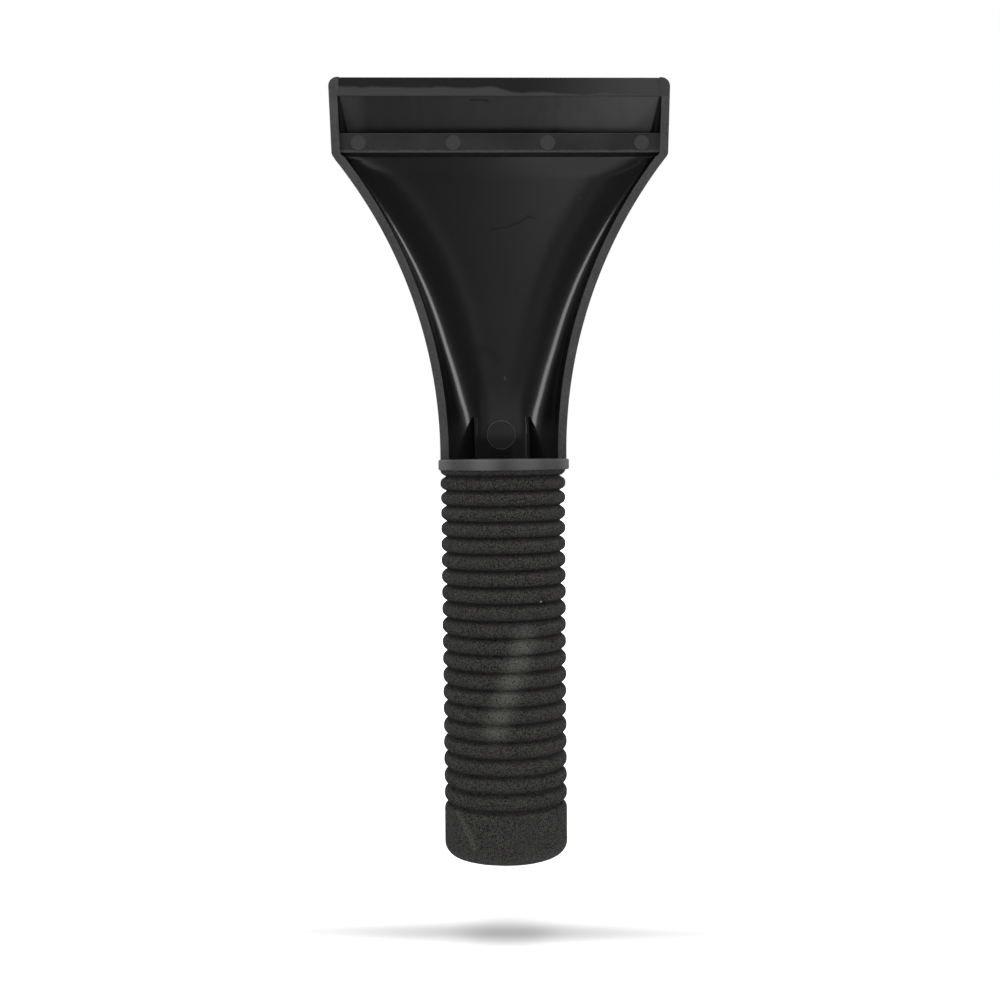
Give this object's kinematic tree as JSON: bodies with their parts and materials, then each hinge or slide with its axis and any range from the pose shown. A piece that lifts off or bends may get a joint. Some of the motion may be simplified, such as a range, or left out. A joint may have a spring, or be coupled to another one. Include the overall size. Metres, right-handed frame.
{
  "type": "ice scraper",
  "caption": "Hand ice scraper: a moulded plastic head, open at the back, flares from a round neck to a wide bevelled scraping edge; a ribbed foam sleeve covers the handle.",
  "frame": {"origin": "centre of the grip's flat lower end, on the handle's axis", "axes": "+Z along the handle towards the scraping edge, +Y out of the head's closed front, the open back faces -Y, +X to the right seen from the open back"},
  "size_m": [0.1004, 0.0386, 0.2295],
  "materials": {
    "moulded_plastic": "black moulded plastic, smooth and semi-gloss inside the head, fine matte grain on the rim",
    "grip_foam": "black closed-cell foam rubber with a fine matte grain"
  },
  "bodies": {
    "root": {"scraper_body": "moulded_plastic", "foam_grip": "grip_foam"}
  },
  "joints": []
}
